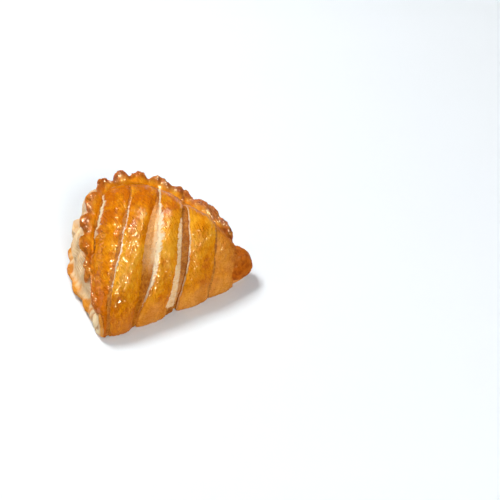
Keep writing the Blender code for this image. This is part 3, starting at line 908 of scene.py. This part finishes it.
def makeWallLayers(side, level, turn):
    tree = Growth("wall layers", wallLayers)
    perMetre = 1.0 / tree.size("Ripple Length")
    thin = tree.node("ShaderNodeMapRange", {}, {
        "Value": tree.grain(perMetre * 0.4, 0), "From Min": 0.42, "From Max": 0.62,
        "To Min": tree.size("Thinnest"), "To Max": 1.0,
    })
    curve = tree.node("GeometryNodeSetCurveRadius", {}, {0: tree.curve, "Radius": thin})
    section = {"Resolution": tree.size("Sides"), "Radius": tree.size("Thickness") * 0.5}
    ring = tree.node("GeometryNodeCurvePrimitiveCircle", {}, section)
    shape = tree.node("GeometryNodeCurveToMesh", {}, {0: curve, "Profile Curve": ring, "Fill Caps": True})
    ripple = {0: tree.grain(perMetre, 1), 1: (0.5, 0.5, 0.5)}
    ripple = tree.node("ShaderNodeVectorMath", {"operation": "SUBTRACT"}, ripple)
    offset = tree.scaled(ripple, tree.size("Ripple"))
    tree.finish(tree.node("GeometryNodeSetPosition", {}, {0: shape, "Offset": offset}))
    out = sheetNormals(side, wrap=True)
    columns = np.flatnonzero((turn > layerLines["from"]) & (turn < layerLines["to"]))[::2]
    lines = []
    count = layerLines["count"]
    for j in range(count):
        along = np.stack([columns * 0.09, 0 * columns, 7.0 * j + 0 * columns], -1)
        place = layerLines["foot"] + layerLines["spread"] * (j + 0.5) / count
        place = lumpy(place, along, (0.14, 4, 71), (0.05, 1.3, 72))
        row = np.interp(place, level, np.arange(len(level)))
        i = row.astype(int)
        point = mix(side[i, columns], side[i + 1, columns], (row - i)[:, None])
        hidden = ease(2.5 * np.exp(-((point - body["lump"]) ** 2).sum(-1) / 24) - 0.3)
        point = point - out[i, columns] * (layerLines["sink"] + layerLines["hide"] * hidden)[:, None]
        parts = np.split(point, np.flatnonzero(hidden > 0.3))  # each line breaks off beside the lump
        lines += [part for part in parts if len(part) > 3]

    def masksFor(p):
        golden = ease(noise(p * (1, 1, 0.5), 8, 73) * 1.5 + 0.2)
        return {"cut": 0.8, "matt": 1.0, "brown": 0.45 * golden, "tone": 0.5}

    return tree.grow("wall_layers", lines, masksFor)


# Small flakes of torn dough along the slashes' pale edges
flakes = {
    "Spacing": 0.0011, "Flake Length": 0.0016, "Flake Width": 0.0009, "Flake Thickness": 0.00022,
    "Curl": 120.0, "Tilt": 0.45, "Share": 0.55, "Seed": 11,
}


def makeFlakes(lines):
    tree = Growth("torn flakes", flakes)
    steps = {0: tree.curve, "Length": tree.size("Spacing")}
    spread = tree.node("GeometryNodeCurveToPoints", {"mode": "LENGTH"}, steps)
    turned = Link(tree, spread.socket.node.outputs["Rotation"])
    size = tree.vector(*(tree.size("Flake " + side) for side in ("Width", "Thickness", "Length")))
    grid = {"Size": size, "Vertices X": 3, "Vertices Y": 2, "Vertices Z": 4}
    flake = tree.node("GeometryNodeMeshCube", {}, grid)
    place = tree.node("GeometryNodeInputPosition", {}, {})
    alongFlake = tree.node("ShaderNodeSeparateXYZ", {}, {0: place}, 2)
    curl = tree.vector(y=alongFlake * alongFlake * tree.size("Curl"))
    flake = tree.node("GeometryNodeSetPosition", {}, {0: flake, "Offset": curl})
    some = {"Probability": tree.size("Share"), "Seed": tree.size("Seed")}
    chosen = tree.node("FunctionNodeRandomValue", {"data_type": "BOOLEAN"}, some, 3)
    tilt = tree.size("Tilt")
    most = tree.vector(tilt, tilt, tilt * 2)
    lean = {0: turned, 1: tree.steady(tree.scaled(most, -1.0), most)}
    turned = tree.node("FunctionNodeRotateRotation", {"rotation_space": "LOCAL"}, lean)
    tree.finish(tree.node("GeometryNodeInstanceOnPoints", {}, {
        "Points": spread, "Selection": chosen, "Instance": flake, "Rotation": turned,
        "Scale": tree.steady((0.5, 0.7, 0.4), (1.3, 1.2, 1.4)),
    }))

    def masksFor(p):
        return {"cut": 1.0, "matt": 1.0, "brown": 0.5 * ease(noise(p, 3, 75) * 2), "tone": 0.5}

    return tree.grow("flakes", lines, masksFor)


# The baked crust, glazed on top, matt at the sides and pale where it is torn
crust = {
    "dark": "#C46400", "orange": "#DB8200", "golden": "#ECA120",
    "toasted": "#BE6210", "toastedDark": "#984004",
    "matt": "#E8A450", "mattDark": "#D2842E",
    "cream": "#EED9B2", "creamDark": "#DFBB84",
    "brown": "#944604", "tan": "#C27820",
    "grainTurn": 24,  # degrees from the frame to the strips
    "grainScale": (1.3, 0.24, 0.5),
    "relief": 0.0006,
    "glaze": 0.5, "glazeRoughness": 0.045, "glazeIor": 1.28, "sheen": 0.004,
}


def crustPaint():
    paint = Paint("baked crust")
    cut, toast, matt, brown, tone = (paint.mask(m) for m in ("cut", "toast", "matt", "brown", "tone"))

    def shades(dark, light, share):
        return paint.blend(srgb(crust[dark]), srgb(crust[light]), share)

    turned = (0, 0, math.radians(crust["grainTurn"]))
    alongStrips = {"Vector": paint.place, "Rotation": turned, "Scale": crust["grainScale"]}
    stretched = paint.node("ShaderNodeMapping", {"vector_type": "POINT"}, alongStrips)
    freckles = paint.grain(0.9, 1) - 0.5
    tone = tone + (paint.grain(5, 4) - 0.5) * 0.6
    tone = tone + (paint.grain(1.7, 3, 0.6, stretched) - 0.5) * 1.1 + freckles * 0.7
    stops = [(0.05, srgb(crust["dark"])), (0.45, srgb(crust["orange"])), (0.95, srgb(crust["golden"]))]
    glazed = paint.node("ShaderNodeValToRGB", {"stops": stops}, {"Fac": tone}, "Color")
    dull = shades("mattDark", "matt", (paint.grain(6, 4) + freckles * 0.7).rise(0.3, 0.65))
    colour = paint.blend(glazed, dull, matt * 0.85)
    colour = paint.blend(colour, shades("toastedDark", "toasted", paint.grain(2.6, 3).rise(0.3, 0.6)), toast)
    colour = paint.blend(colour, shades("creamDark", "cream", paint.grain(2.6, 3).rise(0.25, 0.5)), cut)
    colour = paint.blend(colour, shades("brown", "tan", paint.grain(1.8, 3).rise(0.3, 0.7)), brown)
    dullness = (matt * 0.8 + cut).rise(0.0, 1.0)
    # the glaze's relief is sparse, so that it stays clear between its specks
    specks = paint.grain(1.1, 0, 0.5, stretched).rise(0.55, 0.7)
    height = paint.grain(0.9, 4, 0.6) * dullness * 0.5
    height = height + (paint.grain(1.8, 1, 0.5, stretched) * 0.9 + specks * 0.8) * (1 - dullness)
    height = height + paint.grain(1.5, 1).rise(0.4, 0.64) * toast * (1 - dullness) * 1.1
    relief = {"Height": height, "Strength": 1.0, "Distance": crust["relief"]}
    paint.feed(paint.shader, {
        "Base Color": colour,
        "Roughness": dullness * 0.4 + paint.grain(2, 2) * 0.2 + 0.2,
        "Coat Weight": (1 - dullness) * crust["glaze"],
        "Coat Roughness": crust["glazeRoughness"],
        "Coat IOR": crust["glazeIor"],
        "Specular IOR Level": crust["sheen"],
        "Normal": paint.node("ShaderNodeBump", {}, relief, "Normal"),
    })
    return paint.material


material = crustPaint()
bodyPiece, side, level, turn = makeBody()
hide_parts("turnover")
print("body ready")
pieces, lipLines = [bodyPiece], []
for k in range(len(strips["ends"])):
    piece, lipLine = makeStrip(k)
    pieces.append(piece)
    if len(lipLine) > 4:
        lipLines.append(lipLine)
print("strips ready")
pieces += [makeOpening(k) for k in range(1, len(strips["ends"]))]
pieces += [makeNose(), makeWallLayers(side, level, turn), makeFlakes(lipLines)]
for piece in pieces:
    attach(piece, "root")
print("pieces", [(p.name, len(p.data.polygons)) for p in pieces])

# Floor, light and camera
studio = {
    "azimuth": -31.0, "elevation": 41.0, "lens": 110.0, "distance": 0.9472,
    "target": (0.06315, -0.01809, 0.0),
    "floor": "#E8EDF1", "floorHalf": 3.0, "world": 0.18,
    # the soft lamps light the pastry: azimuth, elevation, distance, size, power
    "lamps": {
        "key": (-168, 60, 1.2, 0.4, 12.5),
        "fill": (-8, 38, 1.3, 0.35, 8.5),
        "side": (-100, 42, 1.2, 0.3, 0.9),
    },
    # and small ones only glint in its glaze: azimuth, elevation, power
    "glints": {
        "behind": (-168, 62, 38), "far right": (148, 54, 16), "in front": (-20, 44, 56),
        "right": (28, 52, 34), "beside": (-95, 52, 36), "above": (-60, 74, 20),
    },
    "glintDistance": 1.2, "glintSize": 0.17, "glintColour": (0.9, 1.0, 0.6),
}


def aim(thing, azimuth, elevation, distance, target=(0, 0, 0)):  # stands it that far off, facing the target
    a, e = math.radians(azimuth), math.radians(elevation)
    way = Vector((math.sin(a) * math.cos(e), -math.cos(a) * math.cos(e), math.sin(e)))
    thing.location = Vector(target) + way * distance
    thing.rotation_euler = way.to_track_quat("Z", "Y").to_euler()


def makeFloor():
    half = studio["floorHalf"]
    corners = [(x * half, y * half, 0) for x, y in ((-1, -1), (1, -1), (1, 1), (-1, 1))]
    mesh = bpy.data.meshes.new("floor")
    mesh.from_pydata(corners, [], [(0, 1, 2, 3)])
    paint = Paint("pale floor")
    matt = {"Base Color": srgb(studio["floor"]), "Roughness": 0.9, "Specular IOR Level": 0.0}
    paint.feed(paint.shader, matt)
    mesh.materials.append(paint.material)
    floor = addObject("floor", mesh)


def addLamp(name, azimuth, elevation, distance, size, power):
    light = bpy.data.lights.new(name, "AREA")
    light.shape, light.size, light.energy = "DISK", size, power
    lamp = addObject(name, light)
    aim(lamp, azimuth, elevation, distance)
    return lamp


makeFloor()
for name, settings in studio["lamps"].items():
    addLamp(name, *settings).visible_glossy = False
for name, (azimuth, elevation, power) in studio["glints"].items():
    lamp = addLamp("glints " + name, azimuth, elevation, studio["glintDistance"], studio["glintSize"], power)
    lamp.visible_diffuse = False
    lamp.data.color = studio["glintColour"]
world = bpy.data.worlds.new("studio")
world.use_nodes = True
background = world.node_tree.nodes["Background"].inputs
background["Strength"].default_value = studio["world"]
background["Color"].default_value = (1, 1, 1, 1)
bpy.context.scene.world = world
bpy.context.scene.view_settings.view_transform = "Standard"
camera = addObject("camera", bpy.data.cameras.new("camera"))
camera.data.lens = studio["lens"]
aim(camera, studio["azimuth"], studio["elevation"], studio["distance"], studio["target"])
bpy.context.scene.camera = camera
print("floor, light and camera ready")
